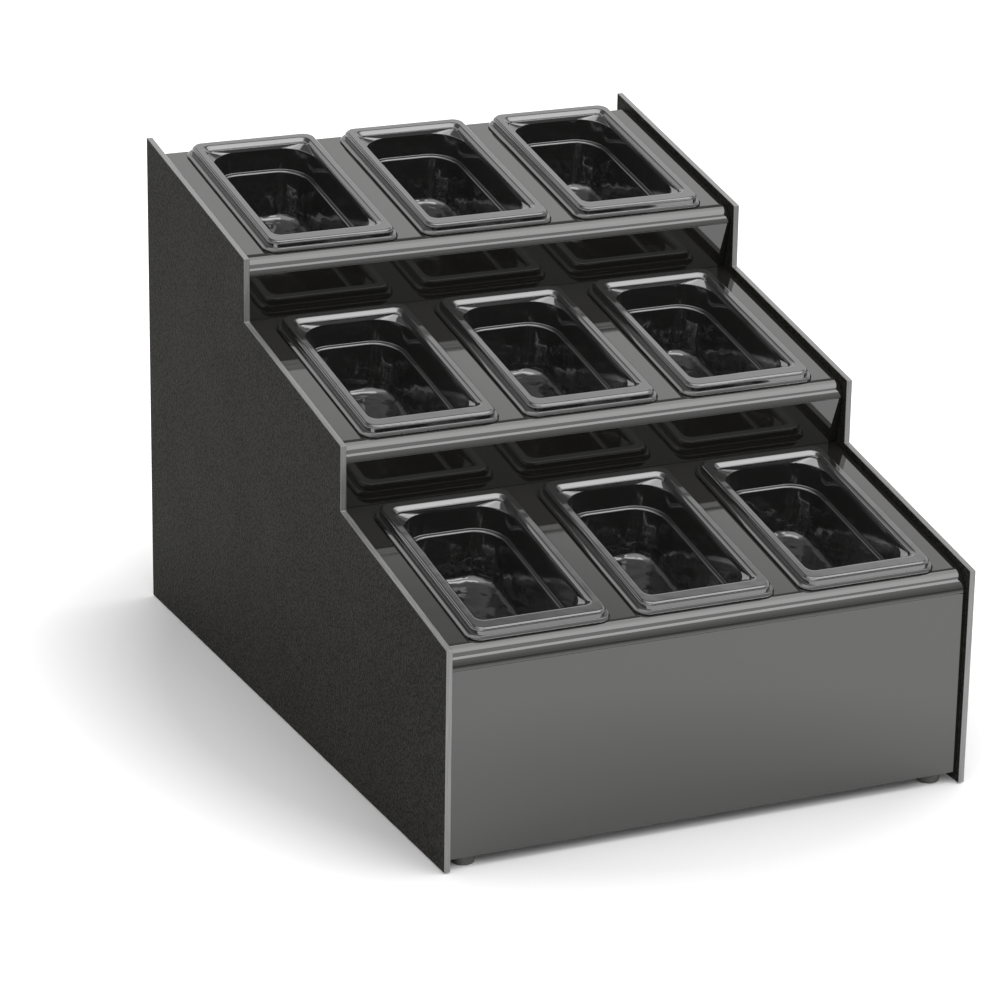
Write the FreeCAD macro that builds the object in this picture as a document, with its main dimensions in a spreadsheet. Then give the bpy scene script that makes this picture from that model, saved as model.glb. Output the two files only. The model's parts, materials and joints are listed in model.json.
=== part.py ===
import FreeCAD, Part
import math
import os

import Sketcher

# Condiment caddy: a three-step counter stand with nine lift-out pans.
# Millimetres, +Z up, front towards -Y, origin on the floor under the middle of the stand.

TIERS = ["lower", "middle", "upper"]
COLUMNS = ["left", "middle", "right"]
TIER_COUNT = len(TIERS)
COLUMN_COUNT = len(COLUMNS)

DRIVING_DIMENSIONS = [
    ("slope_angle", 11.5, "fall of the steps towards the front, degrees"),
    ("front_height", 162.0, "floor to the top of the side panels' front edge"),
    ("riser_height", 48.0, "upright edge between two steps of a side panel"),
    ("rear_overhang", 20.8, "side panels behind the last step"),
    ("panel_thickness", 4.75, "side panel"),
    ("panel_ground_gap", 1.0, "side panel above the floor, so that the feet carry the stand"),
    ("sheet_thickness", 4.0, "shelves, risers, front panel and apron"),
    ("shelf_reveal", 5.0, "shelf surface below the edge of the side panels"),
    ("nose_start", 15.5, "start of a shelf's front bend behind the side panels' corner, along the slope"),
    ("nose_radius", 15.0, "outside of a shelf's front bend"),
    ("nose_turn", 67.0, "how far the front of the two upper shelves is bent, degrees"),
    ("nose_tail", 0.9, "straight end of the sheet past its front bend"),
    ("riser_setback", 0.3, "riser behind the bent end of the shelf above it, along the slope"),
    ("apron_height", 40.0, "strip under the back edge of the top shelf"),
    ("top_shelf_margin", 1.0, "top shelf's back edge behind its pans, along the slope"),
    ("rail_depth", 40.0, "base rail, front to back"),
    ("rail_thickness", 8.0, "base rail"),
    ("foot_height", 8.0, "rubber foot"),
    ("foot_diameter", 18.0, "rubber foot at its top"),
    ("foot_tread_diameter", 16.0, "rubber foot at the floor"),
    ("foot_side_inset", 16.0, "foot centre from the inside of a side panel"),
    ("foot_end_inset", 16.0, "foot centre from the front or back of the side panels"),
    ("screw_diameter", 3.5, "foot screw's shank"),
    ("screw_head_diameter", 7.0, "foot screw's head"),
    ("screw_head_height", 2.2, "foot screw's head"),
    ("screw_head_depth", 4.0, "seat of the screw's head above the floor"),
    ("screw_bite", 6.0, "screw inside the base rail"),
    ("screw_clearance", 0.2, "screw to its hole, on each side"),
    ("pan_width", 108.0, "pan over its flange"),
    ("pan_length", 176.0, "pan over its flange"),
    ("pan_depth", 65.0, "top of the rim to the underside of the pan"),
    ("pan_wall", 2.5, "pan's wall and floor"),
    ("pan_gap", 18.125, "between two pans, and from a pan to a side panel"),
    ("pan_front_margin", 13.0, "pan's flange behind the front corner of the side panels, along the slope"),
    ("pan_rear_gap", 10.7, "pan's flange to the riser behind it, along the slope"),
    ("pan_seat_gap", 0.3, "pan's flange above the shelf"),
    ("pan_draft", 3.0, "taper of the pan's walls, degrees"),
    ("cutout_clearance", 1.5, "pan's body to the edge of its cut-out"),
    ("flange_thickness", 4.0, "outer flange of the pan's rim"),
    ("flange_corner_radius", 10.0, "outer flange of the pan's rim, seen from above"),
    ("rim_height", 8.0, "underside of the flange to the top of the rim"),
    ("rim_side_step", 4.5, "flange outside the raised rim, along the pan's sides"),
    ("rim_end_step", 2.0, "flange outside the raised rim, at the pan's ends"),
    ("rim_side_width", 9.5, "flat top of the raised rim, along the pan's sides"),
    ("rim_end_width", 11.0, "flat top of the raised rim, at the pan's ends"),
    ("rim_corner_radius", 8.0, "raised rim, seen from above"),
    ("rim_edge_radius", 1.2, "rounding of the raised rim's outer edge"),
    ("mouth_corner_radius", 6.0, "inner edge of the rim, seen from above"),
    ("land_depth", 3.0, "corner lands of the mouth below the top of the rim"),
    ("basin_corner_radius", 24.0, "inside of the basin, seen from above"),
    ("shoulder_drop", 23.0, "stacking shoulder below the top of the rim"),
    ("shoulder_width", 3.0, "stacking shoulder"),
    ("floor_radius", 6.0, "rounding between the pan's floor and walls, inside"),
]

doc = FreeCAD.newDocument("condiment_caddy")
sheet = doc.addObject("Spreadsheet::Sheet", "caddy")
for row, (name, size, note) in enumerate(DRIVING_DIMENSIONS, start=1):
    sheet.set(f"A{row}", note)
    sheet.set(f"B{row}", str(size))
    sheet.setAlias(f"B{row}", name)
doc.recompute()

# Sizes that follow from the driving dimensions, as expressions on the sheet

SLOPE = "(caddy.slope_angle * 1 deg)"
DRAFT = "(caddy.pan_draft * 1 deg)"
SHELF_UNDER = "(caddy.shelf_reveal + caddy.sheet_thickness)"

# The front of a shelf is bent down; the lowest one turns until it stands upright


def bend_reach(turn):
    """From the sharp corner of a bend to the end of the bent sheet."""
    return f"(caddy.nose_radius * tan({turn} / 2) + caddy.nose_tail)"


def bend_corner(turn):
    """Sharp corner of a bend, along the slope."""
    return f"(caddy.nose_start - caddy.nose_radius * tan({turn} / 2))"


def bend_end(turn):
    """End of the bent sheet, along the slope and square to it."""
    along = f"({bend_corner(turn)} - {bend_reach(turn)} * cos({turn}))"
    height = f"(-caddy.shelf_reveal - {bend_reach(turn)} * sin({turn}))"
    return along, height


LOWEST_TURN = f"(90 deg - {SLOPE})"
UPPER_TURN = "(caddy.nose_turn * 1 deg)"
UPPER_END, UPPER_END_HEIGHT = bend_end(UPPER_TURN)
RISER_FACE = f"({UPPER_END} + caddy.riser_setback)"
FRONT_FACE = f"({bend_corner(LOWEST_TURN)} * cos({SLOPE}) + caddy.shelf_reveal * sin({SLOPE}))"
FRONT_TOP = (f"({bend_corner(LOWEST_TURN)} * sin({SLOPE}) - caddy.shelf_reveal * cos({SLOPE})"
             f" - {bend_reach(LOWEST_TURN)})")

# The steps follow from the pans and from the riser behind them

PAN_BACK = "(caddy.pan_front_margin + caddy.pan_length)"
RISER_PLACE = f"({PAN_BACK} + caddy.pan_rear_gap)"
STEP_ALONG = f"({RISER_PLACE} - {RISER_FACE})"
TIER_RUN = f"(({STEP_ALONG} - caddy.riser_height * sin({SLOPE})) * cos({SLOPE}))"
TIER_RISE = f"({TIER_RUN} * tan({SLOPE}))"
STEP_RISE = f"({TIER_RISE} + caddy.riser_height)"
DEPTH = f"({TIER_COUNT} * {TIER_RUN} + caddy.rear_overhang)"
INNER_WIDTH = f"({COLUMN_COUNT} * caddy.pan_width + {COLUMN_COUNT + 1} * caddy.pan_gap)"
PAN_PITCH = "(caddy.pan_width + caddy.pan_gap)"
PAN_CENTRE = "(caddy.pan_front_margin + caddy.pan_length / 2)"

MOUTH_SIDE = "(caddy.rim_side_step + caddy.rim_side_width)"
MOUTH_END = "(caddy.rim_end_step + caddy.rim_end_width)"
UPPER_DROP = "(caddy.shoulder_drop - caddy.rim_height)"
LOWER_DROP = "(caddy.pan_depth - caddy.shoulder_drop)"
SHOULDER_INSET = f"((caddy.shoulder_drop - caddy.land_depth) * tan({DRAFT}) + caddy.shoulder_width)"
SHOULDER_RADIUS = "(caddy.basin_corner_radius - caddy.shoulder_width)"


def value(expression):
    """The number that an expression on the sheet gives."""
    result = sheet.evalExpression(expression)
    return float(getattr(result, "Value", result))


def tier_y(tier):
    """Front edge of the side panels at a tier."""
    return f"({tier} * {TIER_RUN} - {DEPTH} / 2)"


def tier_z(tier):
    """Top of the side panels' front edge at a tier."""
    return f"(caddy.front_height + {tier} * {STEP_RISE})"


def slope_z(along_y, drop):
    """Height, from a tier's front corner, of a line that lies a drop below the panels' sloping edge."""
    return f"({along_y} * tan({SLOPE}) - ({drop}) / cos({SLOPE}))"


def column_x(column):
    """Middle of a column of pans."""
    return f"({column - (COLUMN_COUNT - 1) / 2} * {PAN_PITCH})"


# Helpers for bodies, sketches and features

def place(item, x="0", y="0", z="0", tilt=None):
    """Bind an object's placement to expressions; a tilt turns it about X."""
    if tilt is not None:
        turned = FreeCAD.Rotation(FreeCAD.Vector(1, 0, 0), value(tilt))
        item.Placement = FreeCAD.Placement(FreeCAD.Vector(), turned)
        item.setExpression("Placement.Rotation.Angle", tilt)
    item.setExpression("Placement.Base.x", x)
    item.setExpression("Placement.Base.y", y)
    item.setExpression("Placement.Base.z", z)
    return item


def new_body(label, **where):
    body = doc.addObject("PartDesign::Body", label)
    body.Label = label
    return place(body, **where)


def new_sketch(body, name, role, lift="0"):
    """A sketch on one of the body's own planes, or lifted off it."""
    sketch = body.newObject("Sketcher::SketchObject", f"{body.Name}_{name}")
    plane = [feature for feature in body.Origin.OriginFeatures if feature.Role == role][0]
    sketch.AttachmentSupport = [(plane, "")]
    sketch.MapMode = "FlatFace"
    sketch.setExpression("AttachmentOffset.Base.z", lift)
    return sketch


def bind(sketch, constraint, expression):
    index = sketch.addConstraint(constraint)
    sketch.setExpression(f"Constraints[{index}]", expression)


def pin_point(sketch, geometry, position, x, y):
    """Hold a point of the sketch at two coordinates."""
    origin, first_point = -1, 1
    bind(sketch, Sketcher.Constraint("DistanceX", origin, first_point, geometry, position, value(x)), x)
    bind(sketch, Sketcher.Constraint("DistanceY", origin, first_point, geometry, position, value(y)), y)


def draw_polygon(sketch, corners):
    """Closed outline through corners, each a pair of expressions."""
    points = [FreeCAD.Vector(value(x), value(y), 0) for x, y in corners]
    lines = []
    for start, end in zip(points, points[1:] + points[:1]):
        lines.append(sketch.addGeometry(Part.LineSegment(start, end)))
    for line, following in zip(lines, lines[1:] + lines[:1]):
        sketch.addConstraint(Sketcher.Constraint("Coincident", line, 2, following, 1))
    for line, (x, y) in zip(lines, corners):
        pin_point(sketch, line, 1, x, y)


def draw_rounded_rectangle(sketch, width, length, radius, centre_x="0", centre_y="0"):
    """Rectangle with round corners: four arcs with pinned centres, and lines tangent to them."""
    corner = value(radius)
    reach_x = f"({width}) / 2 - ({radius})"
    reach_y = f"({length}) / 2 - ({radius})"
    quarter = math.pi / 2
    arcs = []
    ends = []
    for turn, (side_x, side_y) in enumerate([(1, 1), (-1, 1), (-1, -1), (1, -1)]):
        x = f"{centre_x} + {side_x} * ({reach_x})"
        y = f"{centre_y} + {side_y} * ({reach_y})"
        circle = Part.Circle(FreeCAD.Vector(value(x), value(y), 0), FreeCAD.Vector(0, 0, 1), corner)
        arc = Part.ArcOfCircle(circle, turn * quarter, (turn + 1) * quarter)
        arcs.append(sketch.addGeometry(arc))
        ends.append((arc.StartPoint, arc.EndPoint))
        pin_point(sketch, arcs[-1], 3, x, y)
        bind(sketch, Sketcher.Constraint("Radius", arcs[-1], corner), radius)
    for turn in range(4):
        following = (turn + 1) % 4
        line = sketch.addGeometry(Part.LineSegment(ends[turn][1], ends[following][0]))
        sketch.addConstraint(Sketcher.Constraint("Tangent", arcs[turn], 2, line, 1))
        sketch.addConstraint(Sketcher.Constraint("Tangent", line, 2, arcs[following], 1))


def draw_circle(sketch, radius, x, y):
    centre = FreeCAD.Vector(value(x), value(y), 0)
    circle = sketch.addGeometry(Part.Circle(centre, FreeCAD.Vector(0, 0, 1), value(radius)))
    pin_point(sketch, circle, 3, x, y)
    bind(sketch, Sketcher.Constraint("Radius", circle, value(radius)), radius)


def pad(body, sketch, length, draft=None, down=False, both_sides=False):
    feature = body.newObject("PartDesign::Pad", f"{sketch.Name}_pad")
    feature.Profile = sketch
    feature.setExpression("Length", length)
    feature.Reversed = down
    if both_sides:
        feature.SideType = "Symmetric"
    if draft is not None:
        feature.setExpression("TaperAngle", f"-{draft}")
    return feature


def pocket(body, sketch, length, draft=None, up=False):
    feature = body.newObject("PartDesign::Pocket", f"{sketch.Name}_pocket")
    feature.Profile = sketch
    feature.setExpression("Length", length)
    feature.Reversed = up
    if draft is not None:
        feature.setExpression("TaperAngle", f"-{draft}")
    return feature


def through_pocket(body, sketch):
    feature = body.newObject("PartDesign::Pocket", f"{sketch.Name}_pocket")
    feature.Profile = sketch
    feature.Type = "ThroughAll"
    feature.SideType = "Symmetric"
    return feature


def fillet(body, name, radius, belongs):
    """Round the edges of the body for which belongs(edge) holds."""
    doc.recompute()
    base = body.Tip
    edges = [f"Edge{number}" for number, edge in enumerate(base.Shape.Edges, start=1) if belongs(edge)]
    feature = body.newObject("PartDesign::Fillet", f"{body.Name}_{name}")
    feature.Base = (base, edges)
    feature.setExpression("Radius", radius)
    return feature


def lies_at(edge, axis, coordinate):
    """True where the whole edge lies at one coordinate, in the body's own frame."""
    tolerance = 1e-4
    low = getattr(edge.BoundBox, f"{axis}Min")
    high = getattr(edge.BoundBox, f"{axis}Max")
    return abs(low - coordinate) < tolerance and abs(high - coordinate) < tolerance


# Side panels: stair-shaped sheets with an upright back edge

def make_side_panel(label, inner_face):
    body = new_body(label, x=inner_face)
    corners = [(tier_y(0), "caddy.panel_ground_gap")]
    for tier in range(TIER_COUNT):
        corners.append((tier_y(tier), tier_z(tier)))
        if tier + 1 < TIER_COUNT:
            corners.append((tier_y(tier + 1), f"{tier_z(tier)} + {TIER_RISE}"))
    last = TIER_COUNT - 1
    overhang_rise = f"caddy.rear_overhang * tan({SLOPE})"
    corners.append((f"{DEPTH} / 2", f"{tier_z(last)} + {TIER_RISE} + {overhang_rise}"))
    corners.append((f"{DEPTH} / 2", "caddy.panel_ground_gap"))
    sketch = new_sketch(body, "outline", "YZ_Plane")
    draw_polygon(sketch, corners)
    pad(body, sketch, "caddy.panel_thickness")
    return body


# Shelves: sloping sheets, bent down in front, with a cut-out for each pan

def make_shelf(label, tier, turn, back_edge):
    """A shelf in its own sloping frame, whose origin is the side panels' front corner."""
    body = new_body(label, y=tier_y(tier), z=tier_z(tier), tilt=SLOPE)
    outer_corner = (bend_corner(turn), "-caddy.shelf_reveal")
    inner_corner = (f"({bend_corner(turn)} + caddy.sheet_thickness * tan({turn} / 2))", f"-{SHELF_UNDER}")
    end_along, end_height = bend_end(turn)
    inner_end_along = f"({end_along} + caddy.sheet_thickness * sin({turn}))"
    inner_end_height = f"({end_height} - caddy.sheet_thickness * cos({turn}))"
    profile = new_sketch(body, "profile", "YZ_Plane")
    draw_polygon(profile, [
        outer_corner,
        (back_edge, "-caddy.shelf_reveal"),
        (back_edge, f"-{SHELF_UNDER}"),
        inner_corner,
        (inner_end_along, inner_end_height),
        (end_along, end_height),
    ])
    pad(body, profile, INNER_WIDTH, both_sides=True)

    cutouts = new_sketch(body, "cutouts", "XY_Plane")
    wider = "2 * (caddy.pan_wall + caddy.cutout_clearance)"
    for column in range(COLUMN_COUNT):
        draw_rounded_rectangle(
            cutouts,
            f"(caddy.pan_width - 2 * {MOUTH_SIDE} + {wider})",
            f"(caddy.pan_length - 2 * {MOUTH_END} + {wider})",
            "(caddy.basin_corner_radius + caddy.pan_wall + caddy.cutout_clearance)",
            centre_x=column_x(column),
            centre_y=PAN_CENTRE,
        )
    through_pocket(body, cutouts)

    roundings = [
        ("outer_bend", "caddy.nose_radius", outer_corner),
        ("inner_bend", "caddy.nose_radius - caddy.sheet_thickness", inner_corner),
    ]
    for name, radius, (y, z) in roundings:
        fillet(body, name, radius, lambda edge: lies_at(edge, "Y", value(y)) and lies_at(edge, "Z", value(z)))
    return body


# Risers: sheets square to the shelves, each under the bent end of the shelf above it

def under_bend(along):
    """Height of the face at the end of an upper shelf's bent sheet."""
    return f"({UPPER_END_HEIGHT} - ({along} - {UPPER_END}) / tan({UPPER_TURN}))"


def make_riser(label, tier):
    """The riser below the shelf of a tier, in that shelf's sloping frame."""
    body = new_body(label, y=tier_y(tier), z=tier_z(tier), tilt=SLOPE)
    back_face = f"({RISER_FACE} + caddy.sheet_thickness)"
    bottom = f"-(caddy.shelf_reveal + caddy.riser_height * cos({SLOPE}))"
    profile = new_sketch(body, "profile", "YZ_Plane")
    draw_polygon(profile, [
        (RISER_FACE, bottom),
        (RISER_FACE, under_bend(RISER_FACE)),
        (back_face, under_bend(back_face)),
        (back_face, bottom),
    ])
    pad(body, profile, INNER_WIDTH, both_sides=True)
    return body


# Upright sheets: front panel and apron

def make_upright(label, tier, front_face, top, bottom):
    """An upright sheet at the front corner of a tier; top gives its upper edge at a y."""
    body = new_body(label, y=tier_y(tier), z=tier_z(tier))
    back_face = f"({front_face} + caddy.sheet_thickness)"
    profile = new_sketch(body, "profile", "YZ_Plane")
    draw_polygon(profile, [
        (front_face, bottom),
        (front_face, top(front_face)),
        (back_face, top(back_face)),
        (back_face, bottom),
    ])
    pad(body, profile, INNER_WIDTH, both_sides=True)
    return body


# Base rails and feet

FOOT_X = f"({INNER_WIDTH} / 2 - caddy.foot_side_inset)"
FOOT_Y = f"({DEPTH} / 2 - caddy.foot_end_inset)"
SCREW_HOLE_RADIUS = "(caddy.screw_diameter / 2 + caddy.screw_clearance)"
FOOT_PLACES = {
    "front_left_foot": (-1, -1),
    "front_right_foot": (1, -1),
    "rear_left_foot": (-1, 1),
    "rear_right_foot": (1, 1),
}


def make_rail(label, front_edge, foot_y):
    """A bar between the side panels, with a blind hole over each foot."""
    body = new_body(label, z="caddy.foot_height")
    back_edge = f"({front_edge} + caddy.rail_depth)"
    half = f"{INNER_WIDTH} / 2"
    outline = new_sketch(body, "outline", "XY_Plane")
    draw_polygon(outline, [
        (f"-{half}", front_edge),
        (half, front_edge),
        (half, back_edge),
        (f"-{half}", back_edge),
    ])
    pad(body, outline, "caddy.rail_thickness")
    holes = new_sketch(body, "screw_holes", "XY_Plane")
    for side in (-1, 1):
        draw_circle(holes, SCREW_HOLE_RADIUS, f"{side} * {FOOT_X}", foot_y)
    pocket(body, holes, "caddy.screw_bite + caddy.screw_clearance", up=True)
    return body


def make_foot(label, side_x, side_y):
    """A tapered rubber foot with a stepped hole for its screw."""
    body = new_body(label, x=f"{side_x} * {FOOT_X}", y=f"{side_y} * {FOOT_Y}")
    recess = "(caddy.screw_head_diameter / 2 + caddy.screw_clearance)"
    section = new_sketch(body, "section", "XZ_Plane")
    draw_polygon(section, [
        (SCREW_HOLE_RADIUS, "caddy.screw_head_depth"),
        (recess, "caddy.screw_head_depth"),
        (recess, "0"),
        ("caddy.foot_tread_diameter / 2", "0"),
        ("caddy.foot_diameter / 2", "caddy.foot_height"),
        (SCREW_HOLE_RADIUS, "caddy.foot_height"),
    ])
    turned = body.newObject("PartDesign::Revolution", f"{label}_turned")
    turned.Profile = section
    turned.ReferenceAxis = (section, ["V_Axis"])
    turned.Angle = 360
    return body


def make_foot_screws(label):
    """One pan-head screw in each foot, kept together as one group."""
    screws = []
    for foot, (side_x, side_y) in FOOT_PLACES.items():
        x = f"{side_x} * {FOOT_X}"
        y = f"{side_y} * {FOOT_Y}"
        head = doc.addObject("Part::Cylinder", f"{foot}_screw_head")
        head.setExpression("Radius", "caddy.screw_head_diameter / 2")
        head.setExpression("Height", "caddy.screw_head_height")
        place(head, x=x, y=y, z="caddy.screw_head_depth - caddy.screw_head_height")
        shank = doc.addObject("Part::Cylinder", f"{foot}_screw_shank")
        shank.setExpression("Radius", "caddy.screw_diameter / 2")
        shank.setExpression("Height", "caddy.foot_height - caddy.screw_head_depth + caddy.screw_bite")
        place(shank, x=x, y=y, z="caddy.screw_head_depth")
        screw = doc.addObject("Part::Fuse", f"{foot}_screw")
        screw.Base = head
        screw.Tool = shank
        screws.append(screw)
    group = doc.addObject("Part::Compound", label)
    group.Label = label
    group.Links = screws
    return group


# Pans: a stepped rim over a tapered basin with a stacking shoulder

def pan_section(body, name, side_inset, end_inset, radius, lift):
    """Sketch of the pan's plan view, inset from its flange, at a height over its seat."""
    sketch = new_sketch(body, name, "XY_Plane", lift=lift)
    width = f"(caddy.pan_width - 2 * ({side_inset}))"
    length = f"(caddy.pan_length - 2 * ({end_inset}))"
    draw_rounded_rectangle(sketch, width, length, radius)
    return sketch


def basin_section(body, name, inset, radius, lift):
    """Sketch of the basin's plan view, an inset inside the mouth."""
    return pan_section(body, name, f"{MOUTH_SIDE} + {inset}", f"{MOUTH_END} + {inset}", radius, lift)


def make_pan(label, tier, column):
    seat = "(caddy.pan_seat_gap - caddy.shelf_reveal)"
    body = new_body(
        label,
        x=column_x(column),
        y=f"{tier_y(tier)} + {PAN_CENTRE} * cos({SLOPE}) - {seat} * sin({SLOPE})",
        z=f"{tier_z(tier)} + {PAN_CENTRE} * sin({SLOPE}) + {seat} * cos({SLOPE})",
        tilt=SLOPE,
    )

    flange = pan_section(body, "flange", "0", "0", "caddy.flange_corner_radius", "0")
    pad(body, flange, "caddy.flange_thickness")
    rim = pan_section(body, "rim", "caddy.rim_side_step", "caddy.rim_end_step",
                      "caddy.rim_corner_radius", "caddy.flange_thickness")
    pad(body, rim, "caddy.rim_height - caddy.flange_thickness")
    fillet(body, "rim_edge", "caddy.rim_edge_radius",
           lambda edge: lies_at(edge, "Z", value("caddy.rim_height")))

    # Outside of the basin, down to the stacking shoulder and on to the underside
    neck = basin_section(body, "neck", "-caddy.pan_wall",
                         "(caddy.basin_corner_radius + caddy.pan_wall)", "0")
    pad(body, neck, f"{UPPER_DROP} + caddy.pan_wall", draft=DRAFT, down=True)
    basin = basin_section(body, "basin", f"{SHOULDER_INSET} - caddy.pan_wall",
                          f"({SHOULDER_RADIUS} + caddy.pan_wall)", f"-{UPPER_DROP}")
    pad(body, basin, LOWER_DROP, draft=DRAFT, down=True)
    underside = value(f"-{UPPER_DROP} - {LOWER_DROP}")
    fillet(body, "underside_edge", "caddy.floor_radius + caddy.pan_wall",
           lambda edge: lies_at(edge, "Z", underside))

    # Inside: the mouth with its corner lands, the throat down to the shoulder, and the well
    mouth = basin_section(body, "mouth", "0", "caddy.mouth_corner_radius", "caddy.rim_height")
    pocket(body, mouth, "caddy.land_depth")
    throat = basin_section(body, "throat", "0", "caddy.basin_corner_radius",
                           "caddy.rim_height - caddy.land_depth")
    pocket(body, throat, "caddy.shoulder_drop - caddy.land_depth", draft=DRAFT)
    well = basin_section(body, "well", SHOULDER_INSET, SHOULDER_RADIUS, f"-{UPPER_DROP}")
    pocket(body, well, f"{LOWER_DROP} - caddy.pan_wall", draft=DRAFT)
    inner_floor = underside + value("caddy.pan_wall")
    fillet(body, "floor_edge", "caddy.floor_radius",
           lambda edge: lies_at(edge, "Z", inner_floor))
    return body


# The whole stand

nodes = []
nodes.append(make_side_panel("left_side_panel", f"-{INNER_WIDTH} / 2 - caddy.panel_thickness"))
nodes.append(make_side_panel("right_side_panel", f"{INNER_WIDTH} / 2"))

riser_back = f"({RISER_PLACE} + caddy.sheet_thickness)"
top_back = f"({PAN_BACK} + caddy.top_shelf_margin)"
nodes.append(make_shelf("lower_shelf", 0, LOWEST_TURN, riser_back))
nodes.append(make_shelf("middle_shelf", 1, UPPER_TURN, riser_back))
nodes.append(make_shelf("upper_shelf", 2, UPPER_TURN, top_back))
nodes.append(make_riser("lower_riser", 1))
nodes.append(make_riser("upper_riser", 2))

nodes.append(make_upright("front_panel", 0, FRONT_FACE, lambda y: FRONT_TOP,
                          f"(caddy.foot_height - {tier_z(0)})"))
apron_back = f"({top_back} * cos({SLOPE}))"
nodes.append(make_upright("rear_apron", 2, f"({apron_back} - caddy.sheet_thickness)",
                          lambda y: slope_z(y, SHELF_UNDER),
                          f"({slope_z(apron_back, 'caddy.shelf_reveal')} - caddy.apron_height)"))

front_rail_edge = f"({tier_y(0)} + {FRONT_FACE} + caddy.sheet_thickness)"
rear_rail_edge = f"({DEPTH} / 2 - {FRONT_FACE} - caddy.rail_depth)"
nodes.append(make_rail("front_base_rail", front_rail_edge, f"-{FOOT_Y}"))
nodes.append(make_rail("rear_base_rail", rear_rail_edge, FOOT_Y))
for foot_name, (side_x, side_y) in FOOT_PLACES.items():
    nodes.append(make_foot(foot_name, side_x, side_y))
nodes.append(make_foot_screws("foot_screws"))

for tier, tier_name in enumerate(TIERS):
    for column, column_name in enumerate(COLUMNS):
        nodes.append(make_pan(f"{tier_name}_pan_{column_name}", tier, column))

doc.recompute()

# Nothing is written unless every object and every shape is sound

for item in doc.Objects:
    if "Invalid" in item.State or "Error" in item.State:
        raise RuntimeError(f"{item.Label} failed: {item.State}")
for node in nodes:
    if node.Shape.isNull() or not node.Shape.isValid():
        raise RuntimeError(f"{node.Label} has no sound shape")

os.makedirs("parts", exist_ok=True)
for node in nodes:
    node.Shape.exportStep(f"parts/{node.Label}.step")
    print(f"{node.Label}: {len(node.Shape.Solids)} solid, {node.Shape.Volume / 1000:.1f} cm3")
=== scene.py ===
# %% [markdown]
# # A stepped condiment caddy
#
# The real object is a counter stand made of flat plastic sheets. Two stair-shaped side panels with a
# fine pebbled face hold three glossy sloping shelves, two risers and a front panel. Nine black moulded
# pans hang by their rims in cut-outs of the shelves, and rubber feet carry the whole stand.
#
# The sizes come from the CAD model, which is loaded first and is never moved. This script gives each
# piece its finish, rounds the edges that catch the light, and remakes the pans with the fine rim and
# shoulder that a moulded pan has. Lengths are in metres, +Z is up and the front faces -Y.

# %% Load the CAD frame
import json
import math

import bmesh
import bpy
from mathutils import Matrix, Vector


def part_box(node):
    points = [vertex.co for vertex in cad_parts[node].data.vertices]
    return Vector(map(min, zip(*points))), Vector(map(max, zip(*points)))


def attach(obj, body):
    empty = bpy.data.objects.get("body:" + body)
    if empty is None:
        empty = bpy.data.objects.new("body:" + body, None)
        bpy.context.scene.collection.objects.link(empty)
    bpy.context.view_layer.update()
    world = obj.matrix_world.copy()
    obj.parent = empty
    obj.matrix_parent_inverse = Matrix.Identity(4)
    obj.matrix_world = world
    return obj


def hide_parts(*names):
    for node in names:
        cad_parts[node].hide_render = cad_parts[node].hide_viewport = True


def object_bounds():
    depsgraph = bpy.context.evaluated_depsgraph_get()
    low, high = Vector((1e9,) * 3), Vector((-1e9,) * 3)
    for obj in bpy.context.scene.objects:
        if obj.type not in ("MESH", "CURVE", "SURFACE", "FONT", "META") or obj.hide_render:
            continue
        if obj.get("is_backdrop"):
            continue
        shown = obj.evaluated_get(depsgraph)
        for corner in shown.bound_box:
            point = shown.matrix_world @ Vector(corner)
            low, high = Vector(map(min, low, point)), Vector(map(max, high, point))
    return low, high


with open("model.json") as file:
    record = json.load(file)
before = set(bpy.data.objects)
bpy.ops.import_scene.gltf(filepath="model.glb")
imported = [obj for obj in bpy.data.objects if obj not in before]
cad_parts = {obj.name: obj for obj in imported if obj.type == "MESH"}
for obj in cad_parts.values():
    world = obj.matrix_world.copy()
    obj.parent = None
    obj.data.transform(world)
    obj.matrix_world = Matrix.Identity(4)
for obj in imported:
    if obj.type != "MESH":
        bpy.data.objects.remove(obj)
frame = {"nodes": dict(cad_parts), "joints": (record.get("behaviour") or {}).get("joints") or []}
cad_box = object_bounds()
MM = 0.001

# %% [markdown]
# ## Tools for finishes
#
# A finish is a Principled shader whose colour, roughness and bump are fed by procedural textures. A
# few small helpers keep the recipes below short. All finishes read Object coordinates, which are
# metres here, so a noise scale of 1000 makes specks of about a millimetre.

# %% Finish helpers
def new_finish(name, roughness, ior):
    """A material with a Principled shader; returns it with its tree, shader and object coordinates."""
    material = bpy.data.materials.new(name)
    material.use_nodes = True
    tree = material.node_tree
    shader = tree.nodes["Principled BSDF"]
    shader.inputs["Roughness"].default_value = roughness
    shader.inputs["IOR"].default_value = ior
    coordinates = tree.nodes.new("ShaderNodeTexCoord")
    return material, tree, shader, coordinates.outputs["Object"]


def stretched(tree, where, scale):
    """Coordinates scaled along each axis, for streaks and ovals."""
    mapping = tree.nodes.new("ShaderNodeMapping")
    mapping.inputs["Scale"].default_value = scale
    tree.links.new(where, mapping.inputs["Vector"])
    return mapping.outputs["Vector"]


def add_noise(tree, where, scale, detail):
    """Cloudy noise; more detail adds finer clouds on top."""
    node = tree.nodes.new("ShaderNodeTexNoise")
    node.inputs["Scale"].default_value = scale
    node.inputs["Detail"].default_value = detail
    tree.links.new(where, node.inputs["Vector"])
    return node.outputs[0]


def add_cells(tree, where, scale):
    """Rounded hollows with ridges between them, as on embossed plastic sheet."""
    node = tree.nodes.new("ShaderNodeTexVoronoi")
    node.feature = "SMOOTH_F1"
    node.inputs["Scale"].default_value = scale
    node.inputs["Smoothness"].default_value = 0.6
    tree.links.new(where, node.inputs["Vector"])
    return node.outputs["Distance"]


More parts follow.
